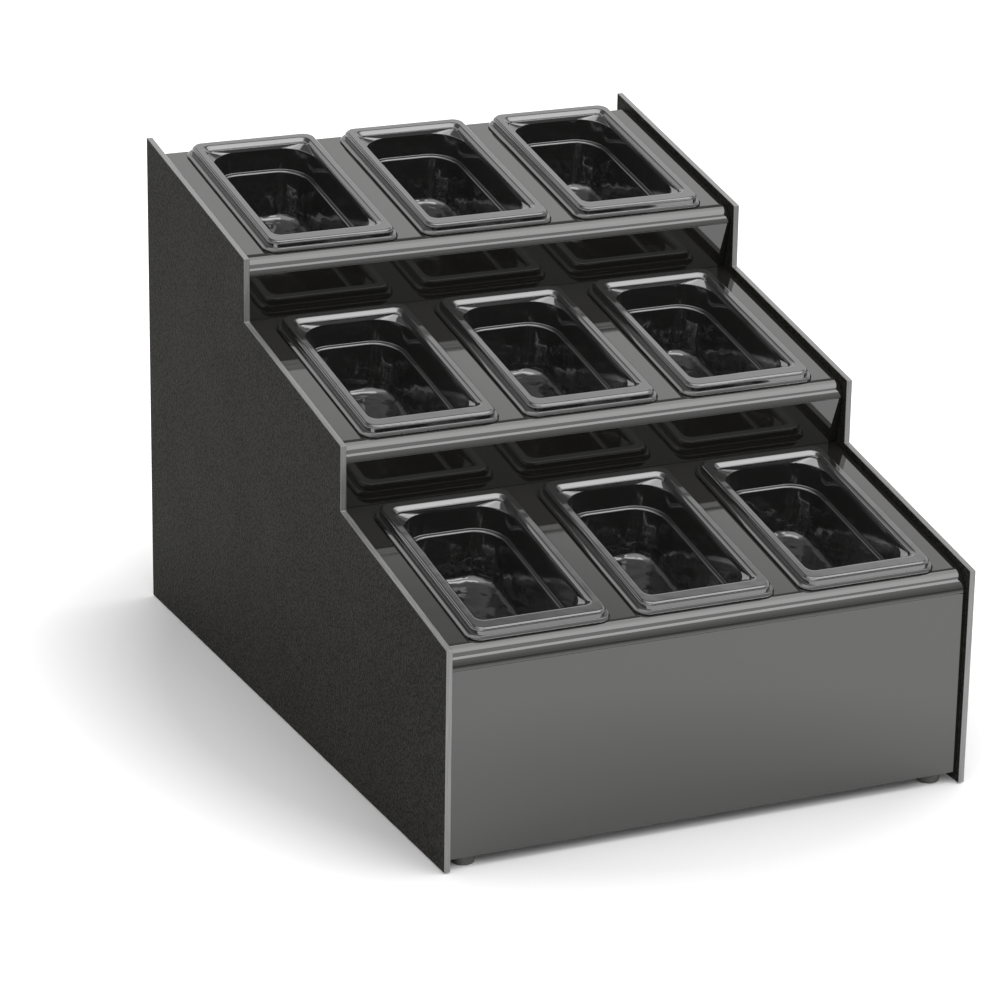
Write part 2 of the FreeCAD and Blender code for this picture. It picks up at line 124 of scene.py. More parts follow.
def add_range(tree, factor, low, high, start=0.3, end=0.7):
    """A value from start to end, spread from low to high; the defaults suit the middle of a noise."""
    node = tree.nodes.new("ShaderNodeMapRange")
    node.inputs["From Min"].default_value = start
    node.inputs["From Max"].default_value = end
    node.inputs["To Min"].default_value = low
    node.inputs["To Max"].default_value = high
    tree.links.new(factor, node.inputs["Value"])
    return node.outputs["Result"]


def add_colours(tree, factor, dark, light, start=0.3, end=0.7):
    """A ramp from one colour to another along a texture."""
    node = tree.nodes.new("ShaderNodeValToRGB")
    for stop, place, colour in zip(node.color_ramp.elements, (start, end), (dark, light)):
        stop.position = place
        stop.color = (*colour, 1.0)
    tree.links.new(factor, node.inputs["Fac"])
    return node.outputs["Color"]


def add_bump(tree, height, strength, distance, over=None):
    """A bumped normal, on top of another one if that is given."""
    node = tree.nodes.new("ShaderNodeBump")
    node.inputs["Strength"].default_value = strength
    node.inputs["Distance"].default_value = distance
    tree.links.new(height, node.inputs["Height"])
    if over is not None:
        tree.links.new(over, node.inputs["Normal"])
    return node.outputs["Normal"]


def feed(tree, socket, source):
    """Give a socket a link or a plain value."""
    if isinstance(source, bpy.types.NodeSocket):
        tree.links.new(source, socket)
    else:
        socket.default_value = source


def add_math(tree, operation, *sources):
    """The result of a calculation on links and plain values."""
    node = tree.nodes.new("ShaderNodeMath")
    node.operation = operation
    for socket, source in zip(node.inputs, sources):
        feed(tree, socket, source)
    return node.outputs[0]


def wear(tree, shader, colour, roughness, normal):
    """Connect what a recipe made to the shader."""
    tree.links.new(colour, shader.inputs["Base Color"])
    tree.links.new(roughness, shader.inputs["Roughness"])
    tree.links.new(normal, shader.inputs["Normal"])


# %% [markdown]
# ## The side panels' finish
#
# The side panels are black sheet with an embossed grain, like a camera body: rounded hollows of about
# one and a half millimetres with a net of ridges between them. The ridges are painted a shade lighter
# than the hollows, a painted glint that stands for the specks of light they catch. The sawn edges were
# flame polished; their lighter grey is partly the plastic's own grey and partly a painted sheen for
# the bright room that they reflect.

# %% Panel finishes
def pebbled_finish():
    material, tree, shader, where = new_finish("pebbled_black", roughness=0.5, ior=1.08)
    pebbles = add_cells(tree, where, scale=700)
    grain = add_noise(tree, where, scale=2600, detail=3)
    patches = add_noise(tree, where, scale=14, detail=4)
    # the ridges are painted lighter than the hollows: a painted glint for the specks of light on the grain
    colour = add_colours(tree, pebbles, (0.002, 0.002, 0.0018), (0.032, 0.031, 0.028), start=0.15, end=0.65)
    roughness = add_range(tree, patches, 0.48, 0.53)
    relief = add_bump(tree, pebbles, strength=0.7, distance=0.4 * MM)
    wear(tree, shader, colour, roughness, add_bump(tree, grain, 0.2, 0.08 * MM, over=relief))
    return material


def polished_edge_sheen_finish():
    material, tree, shader, where = new_finish("polished_edge_sheen", roughness=0.18, ior=2.0)
    streaks = add_noise(tree, stretched(tree, where, (1, 0.06, 0.06)), scale=900, detail=3)
    # grey well above the panel's black: partly the plastic's own grey, partly a painted sheen for the
    # bright room the edges reflect
    colour = add_colours(tree, streaks, (0.12, 0.121, 0.12), (0.18, 0.181, 0.178))
    roughness = add_range(tree, streaks, 0.14, 0.24)
    wear(tree, shader, colour, roughness, add_bump(tree, streaks, strength=0.15, distance=0.05 * MM))
    return material


PEBBLED = pebbled_finish()
POLISHED_EDGE_SHEEN = polished_edge_sheen_finish()
print("panel finishes:", PEBBLED.name, POLISHED_EDGE_SHEEN.name)

# %% [markdown]
# ## The glossy sheet
#
# Shelves, risers and front are cast sheet with a mirror gloss: they show the pans and the floor
# clearly. The high index of refraction gives that strong reflection. Real cast sheet is never quite
# flat and never quite clean, so a slow wave bends the reflections a little and faint smears dull them.

# %% Sheet finish
def mirror_sheet_finish():
    material, tree, shader, where = new_finish("mirror_sheet", roughness=0.04, ior=1.88)
    waves = add_noise(tree, where, scale=9, detail=1)
    smears = add_noise(tree, stretched(tree, where, (1, 4, 4)), scale=22, detail=5)
    dust = add_noise(tree, where, scale=1800, detail=2)
    colour = add_colours(tree, dust, (0.0125, 0.012, 0.0105), (0.0205, 0.02, 0.0185), start=0.5, end=0.75)
    roughness = add_range(tree, smears, 0.025, 0.07)
    wear(tree, shader, colour, roughness, add_bump(tree, waves, strength=0.05, distance=2 * MM))
    return material


MIRROR_SHEET = mirror_sheet_finish()
print("sheet finish:", MIRROR_SHEET.name)

# %% [markdown]
# ## The pans' finish
#
# The pans are injection-moulded and polished, near black, with the slight unevenness of a moulded wall
# where the plastic shrank. Low in the basin, which the pans' mesh marks with an attribute, stronger
# ripples break the reflections into the soft shapes that one sees in the real pans.

# %% Pan finish
RIPPLE_SHARE = 14.0  # height of the basin's ripples against the unevenness elsewhere


def moulded_finish():
    material, tree, shader, where = new_finish("moulded_black", roughness=0.06, ior=2.3)
    shrink = add_noise(tree, where, scale=34, detail=2)
    haze = add_noise(tree, where, scale=60, detail=4)
    specks = add_noise(tree, where, scale=2200, detail=2)
    colour = add_colours(tree, specks, (0.016, 0.016, 0.0155), (0.024, 0.024, 0.023), start=0.55, end=0.8)
    roughness = add_range(tree, haze, 0.04, 0.1)
    basin = tree.nodes.new("ShaderNodeAttribute")
    basin.attribute_name = "basin"
    ripples = add_math(tree, "MULTIPLY", add_noise(tree, where, scale=70, detail=1), basin.outputs["Fac"])
    uneven = add_math(tree, "MULTIPLY_ADD", ripples, RIPPLE_SHARE, shrink)
    wear(tree, shader, colour, roughness, add_bump(tree, uneven, strength=0.14, distance=1.2 * MM))
    return material


MOULDED = moulded_finish()
print("pan finish:", MOULDED.name)

# %% [markdown]
# ## Finishes under the stand
#
# The base rails are sawn from the same black plastic and only sanded. The feet are soft rubber with a
# dull, slightly dusty skin, and their screws are plated steel.

# %% Rail, rubber and screw finishes
def sanded_finish():
    material, tree, shader, where = new_finish("sanded_black", roughness=0.55, ior=1.5)
    scratches = add_noise(tree, stretched(tree, where, (0.05, 1, 1)), scale=1500, detail=3)
    colour = add_colours(tree, scratches, (0.018, 0.018, 0.018), (0.045, 0.045, 0.044))
    roughness = add_range(tree, scratches, 0.45, 0.65)
    wear(tree, shader, colour, roughness, add_bump(tree, scratches, strength=0.3, distance=0.06 * MM))
    return material


def rubber_finish():
    material, tree, shader, where = new_finish("foot_rubber", roughness=0.7, ior=1.5)
    skin = add_noise(tree, where, scale=1400, detail=4)
    dust = add_noise(tree, where, scale=260, detail=3)
    colour = add_colours(tree, dust, (0.05, 0.049, 0.047), (0.11, 0.108, 0.104))
    roughness = add_range(tree, skin, 0.62, 0.8)
    wear(tree, shader, colour, roughness, add_bump(tree, skin, strength=0.3, distance=0.1 * MM))
    return material


def plated_finish():
    material, tree, shader, where = new_finish("plated_screw", roughness=0.3, ior=1.5)
    shader.inputs["Metallic"].default_value = 1.0
    turning = add_noise(tree, stretched(tree, where, (1, 1, 8)), scale=1600, detail=2)
    colour = add_colours(tree, turning, (0.48, 0.48, 0.47), (0.62, 0.62, 0.61))
    roughness = add_range(tree, turning, 0.24, 0.4)
    wear(tree, shader, colour, roughness, add_bump(tree, turning, strength=0.1, distance=0.03 * MM))
    return material


SANDED = sanded_finish()
RUBBER = rubber_finish()
PLATED = plated_finish()
print("base finishes:", SANDED.name, RUBBER.name, PLATED.name)

# %% [markdown]
# ## Flat sheets with broken edges
#
# A sheet from the CAD model has perfectly sharp edges, and a sharp edge never catches light. A copy of
# the CAD mesh is merged, its flat faces are joined, and a Bevel modifier breaks the edges by a few
# tenths of a millimetre, as sanding does. The result is a plain mesh that stands in for its node.

# %% Sheet helpers
SAME_POINT = 0.001 * MM
FLAT_WITHIN = math.radians(0.5)
SHARP_EDGE = math.radians(30)


def merged_copy(node):
    """A copy of a CAD node's mesh with shared corners and whole flat faces."""
    mesh = frame["nodes"][node].data.copy()
    mesh.materials.clear()
    work = bmesh.new()
    work.from_mesh(mesh)
    bmesh.ops.remove_doubles(work, verts=work.verts, dist=SAME_POINT)
    bmesh.ops.dissolve_limit(work, angle_limit=FLAT_WITHIN, verts=work.verts, edges=work.edges)
    work.to_mesh(mesh)
    work.free()
    return mesh


def plain_mesh(piece):
    """Replace an object's mesh by what its modifiers make of it."""
    evaluated = piece.evaluated_get(bpy.context.evaluated_depsgraph_get())
    mesh = bpy.data.meshes.new_from_object(evaluated)
    piece.modifiers.clear()
    piece.data = mesh
    mesh.name = piece.name
    return piece


def new_piece(name, mesh):
    """An object in the scene that shows a mesh."""
    piece = bpy.data.objects.new(name, mesh)
    bpy.context.scene.collection.objects.link(piece)
    return piece


def break_edges(piece, width):
    """Round the sharp edges of a piece, and keep its flat faces flat."""
    piece.data.shade_smooth()
    piece.data.set_sharp_from_angle(angle=SHARP_EDGE)
    bevel = piece.modifiers.new("broken_edges", "BEVEL")
    bevel.width = width
    bevel.segments = 2
    bevel.limit_method = "ANGLE"
    bevel.angle_limit = SHARP_EDGE
    flat = piece.modifiers.new("flat_faces", "WEIGHTED_NORMAL")
    flat.weight = 100
    flat.keep_sharp = True
    plain_mesh(piece)


def sheet_piece(node, finish, edge_width):
    """A CAD sheet with broken edges and its finish, standing in for its node."""
    piece = new_piece(f"{node}_piece", merged_copy(node))
    break_edges(piece, edge_width)
    piece.data.materials.append(finish)
    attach(piece, "stand")
    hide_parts(node)
    return piece


# %% [markdown]
# The side panels carry two finishes: pebbles on the two broad faces, and the polished grey with its
# painted sheen on every face that runs round the outline. Which one a face gets depends on where it
# points.

# %% Side panels
SIDEWAYS = 0.9  # share of a face's direction along X, above which it belongs to a broad side

for node in ("left_side_panel", "right_side_panel"):
    panel = sheet_piece(node, PEBBLED, 0.5 * MM)
    panel.data.materials.append(POLISHED_EDGE_SHEEN)
    for face in panel.data.polygons:
        face.material_index = 0 if abs(face.normal.x) > SIDEWAYS else 1
    print(panel.name, len(panel.data.polygons), "faces")

# %% Shelves, risers, front panel and apron
for node in ("lower_shelf", "middle_shelf", "upper_shelf",
             "lower_riser", "upper_riser", "front_panel", "rear_apron"):
    sheet = sheet_piece(node, MIRROR_SHEET, 0.35 * MM)
    print(sheet.name, len(sheet.data.polygons), "faces")

# %% Base rails
for node in ("front_base_rail", "rear_base_rail"):
    rail = sheet_piece(node, SANDED, 0.6 * MM)
    print(rail.name, len(rail.data.polygons), "faces")

# %% [markdown]
# ## The pans
#
# A moulded pan follows one rule: every level of it is a rounded rectangle. So its whole shape is a
# list of levels, from the middle of the underside, up the outside, over the rim and down to the middle
# of the floor inside. Each level has a half width, a half length, a corner radius, a height and a
# shift to the back. Where the radius changes quickly, at the mouth, the corners become the small
# sloping lands of the real pan.
#
# The levels are written as sharp profile corners with a rounding each. A Geometry Nodes tree then
# sweeps them into a skin, so a finer or coarser pan is one number away.

# %% Profile of a pan, in millimetres from the middle of its seat
LEVEL_SIZES = ("half_width", "half_length", "corner_radius", "height", "shift")
SIZE_COUNT = len(LEVEL_SIZES)

PAN_PROFILE = [
    # the five sizes of a level, then the rounding
    (0.0, 35.0, 0.0, -57.0, 0.0, 0.0),  # middle of the underside
    (36.2, 71.2, 21.3, -57.0, 0.0, 7.5),  # edge of the underside
    (38.5, 73.5, 23.5, -17.5, 0.0, 1.0),  # wall under the shoulder
    (41.6, 76.6, 25.6, -17.5, 0.0, 1.5),  # shoulder, from outside
    (42.5, 77.5, 26.5, 0.0, 0.0, 0.8),  # wall meets the flange
    (54.0, 88.0, 10.0, 0.0, 0.0, 0.6),  # flange's lower edge
    (54.0, 88.0, 10.0, 1.2, 0.0, 0.5),  # flange's chamfer
    (52.4, 87.0, 9.0, 3.0, 0.0, 0.4),  # flange's top
    (50.2, 86.4, 8.2, 3.0, 0.0, 0.3),  # foot of the raised rim
    (50.2, 86.2, 8.0, 6.2, 0.0, 0.4),  # rim's chamfer
    (48.6, 85.0, 7.5, 8.0, 0.0, 0.7),  # rim's flat top, outer edge
    (43.7, 77.2, 7.0, 8.0, 1.8, 0.8),  # rim's flat top, inner edge
    (41.6, 73.6, 6.0, 6.0, 1.8, 0.7),  # foot of the slope into the mouth
    (41.2, 73.2, 6.5, 4.4, 1.8, 0.3),  # outside of the corner lands
    (40.8, 74.0, 22.0, 2.0, 0.9, 0.6),  # inside of the corner lands
    (38.9, 73.9, 22.9, -15.0, 0.0, 0.4),  # shoulder's outer edge
    (35.9, 70.9, 21.0, -15.4, 0.0, 1.3),  # shoulder's inner edge
    (33.9, 68.9, 18.9, -54.5, 0.0, 6.0),  # edge of the floor
    (0.0, 35.0, 0.0, -55.5, 0.0, 0.0),  # middle of the floor
]
CURVE_STEPS = 5  # steps in the rounding of a profile corner
HOLD = 0.5  # how far from a rounding the next level lies, which keeps the run beyond it straight


def run_between(first, second):
    """How far apart two profile corners are, in whichever size differs most."""
    return max(abs(a - b) for a, b in zip(first[:SIZE_COUNT], second[:SIZE_COUNT]))


def moved_towards(first, second, distance):
    """A level on the way from one profile corner to another."""
    share = distance / run_between(first, second)
    return tuple(a + (b - a) * share for a, b in zip(first[:SIZE_COUNT], second[:SIZE_COUNT]))


def support(corner, neighbour):
    """The level just outside a corner's rounding."""
    rounding = corner[-1]
    room = run_between(corner, neighbour) - rounding
    return moved_towards(corner, neighbour, rounding + min(HOLD, room / 3))


def on_curve(start, corner, end, t):
    """A level at share t of the rounding from start to end."""
    return tuple((1 - t) ** 2 * a + 2 * t * (1 - t) * b + t ** 2 * c for a, b, c in zip(start, corner, end))


def softened(profile):
    """Levels of a pan: each profile corner turns into a short curve, held by a level on each side."""
    levels = [profile[0][:SIZE_COUNT]]
    for before, corner, after in zip(profile, profile[1:], profile[2:]):
        rounding = corner[-1]
        start = moved_towards(corner, before, rounding)
        end = moved_towards(corner, after, rounding)
        levels.append(support(corner, before))
        for step in range(CURVE_STEPS + 1):
            levels.append(on_curve(start, corner, end, step / CURVE_STEPS))
        levels.append(support(corner, after))
    levels.append(profile[-1][:SIZE_COUNT])
    return levels


pan_levels = softened(PAN_PROFILE)
print("levels of a pan:", len(pan_levels))

# %% [markdown]
# The tree builds a grid with one row for each level and one column for each step round the outline.
# The row and column of a point follow from its index. The column gives an angle and a corner, the row
# gives the sizes that were stored on the profile, and together they give the point's place. The first
# and last column meet, and the first and last row close up to a line, so merging leaves a sealed skin.
# The rows of the floor are marked as basin for the finish.

# %% Geometry Nodes helpers
def new_tree(name, inputs):
    """An empty modifier tree with named inputs; returns it with its input and output nodes."""
    tree = bpy.data.node_groups.new(name, "GeometryNodeTree")
    tree.is_modifier = True
    tree.interface.new_socket("Geometry", in_out="INPUT", socket_type="NodeSocketGeometry")
    for label, kind in inputs:
        tree.interface.new_socket(label, in_out="INPUT", socket_type=kind)
    tree.interface.new_socket("Geometry", in_out="OUTPUT", socket_type="NodeSocketGeometry")
    return tree, tree.nodes.new("NodeGroupInput"), tree.nodes.new("NodeGroupOutput")


def add_geometry_node(tree, kind, **sources):
    """A node with its inputs fed by name, where an underscore stands for a space."""
    node = tree.nodes.new(kind)
    for name, source in sources.items():
        feed(tree, node.inputs[name.replace("_", " ")], source)
    return node


def whole_number_of(tree, unit, value):
    """How many whole units a counted value holds; the added half keeps it clear of the limits."""
    return add_math(tree, "FLOOR", add_math(tree, "DIVIDE", add_math(tree, "ADD", value, 0.5), unit))


def set_input(modifier, tree, label, value):
    """Set a modifier's input, which is known by its identifier and not by its name."""
    for item in tree.interface.items_tree:
        if item.item_type == "SOCKET" and item.in_out == "INPUT" and item.name == label:
            modifier[item.identifier] = value


# %% The tree that sweeps a pan
def sweep_tree():
    tree, given, result = new_tree("rounded_rectangle_sweep", [
        ("Corner Steps", "NodeSocketInt"),
        ("Seat", "NodeSocketVector"),
        ("Tilt", "NodeSocketFloat"),
        ("Basin Row", "NodeSocketInt"),
        ("Finish", "NodeSocketMaterial"),
    ])
    profile = given.outputs["Geometry"]
    corner_steps = given.outputs["Corner Steps"]
    per_corner = add_math(tree, "ADD", corner_steps, 1.0)
    columns = add_math(tree, "ADD", add_math(tree, "MULTIPLY", per_corner, 4.0), 1.0)

    count = tree.nodes.new("GeometryNodeAttributeDomainSize")
    tree.links.new(profile, count.inputs["Geometry"])
    grid = add_geometry_node(tree, "GeometryNodeMeshGrid",
                             Vertices_X=count.outputs["Point Count"], Vertices_Y=columns)

    index = tree.nodes.new("GeometryNodeInputIndex").outputs[0]
    row = whole_number_of(tree, columns, index)
    column = add_math(tree, "SUBTRACT", index, add_math(tree, "MULTIPLY", row, columns))
    corner = whole_number_of(tree, per_corner, column)
    step = add_math(tree, "SUBTRACT", column, add_math(tree, "MULTIPLY", corner, per_corner))

    quarter = math.pi / 2
    along = add_math(tree, "ADD", corner, add_math(tree, "DIVIDE", step, corner_steps))
    angle = add_math(tree, "MULTIPLY", along, quarter)
    diagonal = add_math(tree, "MULTIPLY_ADD", corner, quarter, quarter / 2)

    size = {}
    for name in LEVEL_SIZES:
        stored = add_geometry_node(tree, "GeometryNodeInputNamedAttribute", Name=name)
        sample = tree.nodes.new("GeometryNodeSampleIndex")
        tree.links.new(profile, sample.inputs["Geometry"])
        tree.links.new(stored.outputs["Attribute"], sample.inputs["Value"])
        tree.links.new(row, sample.inputs["Index"])
        size[name] = sample.outputs["Value"]

    radius = size["corner_radius"]
    place = []
    for turn, half in (("COSINE", size["half_width"]), ("SINE", size["half_length"])):
        side = add_math(tree, "SIGN", add_math(tree, turn, diagonal))
        centre = add_math(tree, "MULTIPLY", side, add_math(tree, "SUBTRACT", half, radius))
        place.append(add_math(tree, "MULTIPLY_ADD", add_math(tree, turn, angle), radius, centre))
    point = add_geometry_node(tree, "ShaderNodeCombineXYZ", X=place[0],
                              Y=add_math(tree, "ADD", place[1], size["shift"]), Z=size["height"])

    swept = add_geometry_node(tree, "GeometryNodeSetPosition",
                              Geometry=grid.outputs["Mesh"], Position=point.outputs[0])
    wall_end = add_math(tree, "SUBTRACT", given.outputs["Basin Row"], 0.5)
    low_down = add_math(tree, "GREATER_THAN", row, wall_end)
    marked = add_geometry_node(tree, "GeometryNodeStoreNamedAttribute",
                               Geometry=swept.outputs[0], Name="basin", Value=low_down)
    sealed = add_geometry_node(tree, "GeometryNodeMergeByDistance",
                               Geometry=marked.outputs[0], Distance=0.01 * MM)
    turned = add_geometry_node(tree, "ShaderNodeCombineXYZ", X=given.outputs["Tilt"])
    seated = add_geometry_node(tree, "GeometryNodeTransform", Geometry=sealed.outputs[0],
                               Translation=given.outputs["Seat"], Rotation=turned.outputs[0])
    smooth = add_geometry_node(tree, "GeometryNodeSetShadeSmooth", Geometry=seated.outputs[0])
    whole = add_geometry_node(tree, "GeometryNodeRealizeInstances", Geometry=smooth.outputs[0])
    finished = add_geometry_node(tree, "GeometryNodeSetMaterial",
                                 Geometry=whole.outputs[0], Material=given.outputs["Finish"])
    tree.links.new(finished.outputs[0], result.inputs["Geometry"])
    return tree


PAN_TREE = sweep_tree()
print("nodes in the sweep:", len(PAN_TREE.nodes))

# %% [markdown]
# A pan's seat is read off the CAD model: the lift joints run square to the shelves, which gives the
# tilt, and the front and the top of the pan's box give its place.

# %% Make the nine pans
lift_axis = Vector(frame["joints"][0]["axis"])
PAN_TILT = math.atan2(-lift_axis.y, lift_axis.z)
CORNER_STEPS = 10  # steps round each corner of a level
FLOOR_LEVELS = CURVE_STEPS + 4  # the floor's rounding with a level on each side, and the middle
CAD_RIM = [(88.0, 4.0), (86.0, 8.0)]  # half length and height of the solid's flange and rim, in millimetres


def profile_mesh(levels):
    """A row of points that carry the sizes of the levels."""
    mesh = bpy.data.meshes.new("pan_profile")
    mesh.from_pydata([(0, 0, 0)] * len(levels), [], [])
    for number, name in enumerate(LEVEL_SIZES):
        stored = mesh.attributes.new(name, "FLOAT", "POINT")
        stored.data.foreach_set("value", [level[number] * MM for level in levels])
    return mesh


def seat_of(node):
    """Middle of a pan's seat, from the front and the top of its box in the CAD model."""
    low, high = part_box(node)
    front_y = min(-length * math.cos(PAN_TILT) - height * math.sin(PAN_TILT) for length, height in CAD_RIM)
    top_z = max(length * math.sin(PAN_TILT) + height * math.cos(PAN_TILT) for length, height in CAD_RIM)
    return Vector(((low.x + high.x) / 2, low.y - front_y * MM, high.z - top_z * MM))


def pan_piece(node):
    """A moulded pan, standing in for its node."""
    piece = new_piece(f"{node}_piece", profile_mesh(pan_levels))
    sweep = piece.modifiers.new("sweep", "NODES")
    sweep.node_group = PAN_TREE
    set_input(sweep, PAN_TREE, "Corner Steps", CORNER_STEPS)
    set_input(sweep, PAN_TREE, "Seat", seat_of(node))
    set_input(sweep, PAN_TREE, "Tilt", PAN_TILT)
    set_input(sweep, PAN_TREE, "Basin Row", len(pan_levels) - FLOOR_LEVELS)
    set_input(sweep, PAN_TREE, "Finish", MOULDED)
    plain_mesh(piece)
    work = bmesh.new()
    work.from_mesh(piece.data)
    bmesh.ops.recalc_face_normals(work, faces=work.faces)
    open_edges = sum(not edge.is_manifold for edge in work.edges)
    work.to_mesh(piece.data)
    work.free()
    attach(piece, node)
    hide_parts(node)
    print(piece.name, "faces:", len(piece.data.polygons), "open edges:", open_edges)


for tier in ("lower", "middle", "upper"):
    for column in ("left", "middle", "right"):
        pan_piece(f"{tier}_pan_{column}")

# %% [markdown]
# ## Feet and screws
#
# Four equal feet stand at the corners of a rectangle, each with a screw in its recess. One foot and
# one screw are turned on a lathe, so to speak, and a small Geometry Nodes tree sets a copy at each
# corner. The screw's head gets a cross for the driver.

# %% One foot and one screw
SCREW_FACE = 1.8  # face of the screw's head above the floor, in millimetres


def lathe(name, outline, steps):
    """Turn an outline of (radius, height) points, in millimetres, round the Z axis into a closed body."""
    work = bmesh.new()
    points = [work.verts.new((radius * MM, 0, height * MM)) for radius, height in outline]
    # An edge on the axis is left out, because it would turn into nothing.
    edges = [work.edges.new(pair) for pair in zip(points, points[1:] + points[:1])
             if pair[0].co.x + pair[1].co.x > 1e-9]
    bmesh.ops.spin(work, geom=points + edges, axis=(0, 0, 1), cent=(0, 0, 0),
                   steps=steps, angle=2 * math.pi, use_merge=True)
    bmesh.ops.remove_doubles(work, verts=work.verts, dist=SAME_POINT)
    bmesh.ops.recalc_face_normals(work, faces=work.faces)
    mesh = bpy.data.meshes.new(name)
    work.to_mesh(mesh)
    work.free()
    return mesh


FOOT_OUTLINE = [
    (1.95, 4), (3.7, 4), (3.7, 0.3), (4.0, 0),  # hole and recess for the screw
    (5.2, 0), (5.5, 0.35), (6.1, 0.35), (6.4, 0),  # tread with a groove
    (7.5, 0), (8.0, 0.5), (8.9, 7.2), (9.0, 7.7), (8.8, 8), (1.95, 8),  # side and top
]
SCREW_OUTLINE = [
    (0, SCREW_FACE), (1.6, SCREW_FACE), (2.6, 2.05), (3.2, 2.5), (3.5, 3.2), (3.5, 4),  # head
    (1.75, 4), (1.75, 13.2), (0.9, 14), (0, 14),  # shank
]
foot_mesh = lathe("foot", FOOT_OUTLINE, steps=48)
screw_mesh = lathe("screw", SCREW_OUTLINE, steps=32)
print("foot faces:", len(foot_mesh.polygons), "screw faces:", len(screw_mesh.polygons))

# %% The cross in the screw's head
def cross_cutter(width, length, depth):
    """Two crossed bars in the face of the screw's head, in millimetres."""
    work = bmesh.new()
    for bar in ((length, width), (width, length)):
        made = bmesh.ops.create_cube(work, size=1)
        bmesh.ops.scale(work, verts=made["verts"], vec=(bar[0] * MM, bar[1] * MM, 2 * depth * MM))
        bmesh.ops.translate(work, verts=made["verts"], vec=(0, 0, SCREW_FACE * MM))
    mesh = bpy.data.meshes.new("cross_cutter")
    work.to_mesh(mesh)
    work.free()
    return new_piece("cross_cutter", mesh)


cutter = cross_cutter(width=0.9, length=3.6, depth=1.2)
screw = new_piece("screw", screw_mesh)
cut = screw.modifiers.new("cross", "BOOLEAN")
cut.object = cutter
cut.use_self = True
screw_mesh = plain_mesh(screw).data
bpy.data.objects.remove(screw)
bpy.data.objects.remove(cutter)
print("screw faces with its cross:", len(screw_mesh.polygons))

# %% The tree that sets four copies at the corners
def four_corners_tree():
    tree, given, result = new_tree("four_corners", [
        ("Spread X", "NodeSocketFloat"),
        ("Spread Y", "NodeSocketFloat"),
        ("Finish", "NodeSocketMaterial"),
    ])
    corners = add_geometry_node(tree, "GeometryNodeMeshGrid",
                                Size_X=given.outputs["Spread X"], Size_Y=given.outputs["Spread Y"],
                                Vertices_X=2, Vertices_Y=2)
    copies = add_geometry_node(tree, "GeometryNodeInstanceOnPoints",
                               Points=corners.outputs["Mesh"], Instance=given.outputs["Geometry"])
    whole = add_geometry_node(tree, "GeometryNodeRealizeInstances", Geometry=copies.outputs[0])
    finished = add_geometry_node(tree, "GeometryNodeSetMaterial",
                                 Geometry=whole.outputs[0], Material=given.outputs["Finish"])
    tree.links.new(finished.outputs[0], result.inputs["Geometry"])
    return tree


CORNER_TREE = four_corners_tree()
FEET = ("front_left_foot", "front_right_foot", "rear_left_foot", "rear_right_foot")


def corner_pieces(name, mesh, finish, nodes):
    """Copies of a small part at the four feet, as one piece of the stand."""
    left_low, left_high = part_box("front_left_foot")
    right_low, right_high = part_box("rear_right_foot")
    spread = (right_low + right_high - left_low - left_high) / 2
    piece = new_piece(name, mesh)
    copies = piece.modifiers.new("corners", "NODES")
    copies.node_group = CORNER_TREE
    set_input(copies, CORNER_TREE, "Spread X", spread.x)
    set_input(copies, CORNER_TREE, "Spread Y", spread.y)
    set_input(copies, CORNER_TREE, "Finish", finish)
    plain_mesh(piece)
    piece.data.shade_smooth()
    piece.data.set_sharp_from_angle(angle=math.radians(35))
    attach(piece, "stand")
    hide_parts(*nodes)
    print(piece.name, "faces:", len(piece.data.polygons))


corner_pieces("rubber_feet", foot_mesh, RUBBER, FEET)
corner_pieces("foot_screws_piece", screw_mesh, PLATED, ("foot_screws",))

# %% [markdown]
# ## Studio
#
# The caddy stands on white paper in a dim room. A large soft light hangs above it, a little to the
# right, so that its shadow falls to the left, and a smaller one stands in front. The lamps make the
# paper nearly white by themselves. Camera and mirror rays also see it glow outside an oval round the
# stand, which keeps the background white and leaves the shadow in it. The camera sees paper on all
# sides. For all other rays it gets dark far in front of the stand, as at the edge of a real sheet, so
# the lower gloss of the shelves' bends turns dark there.

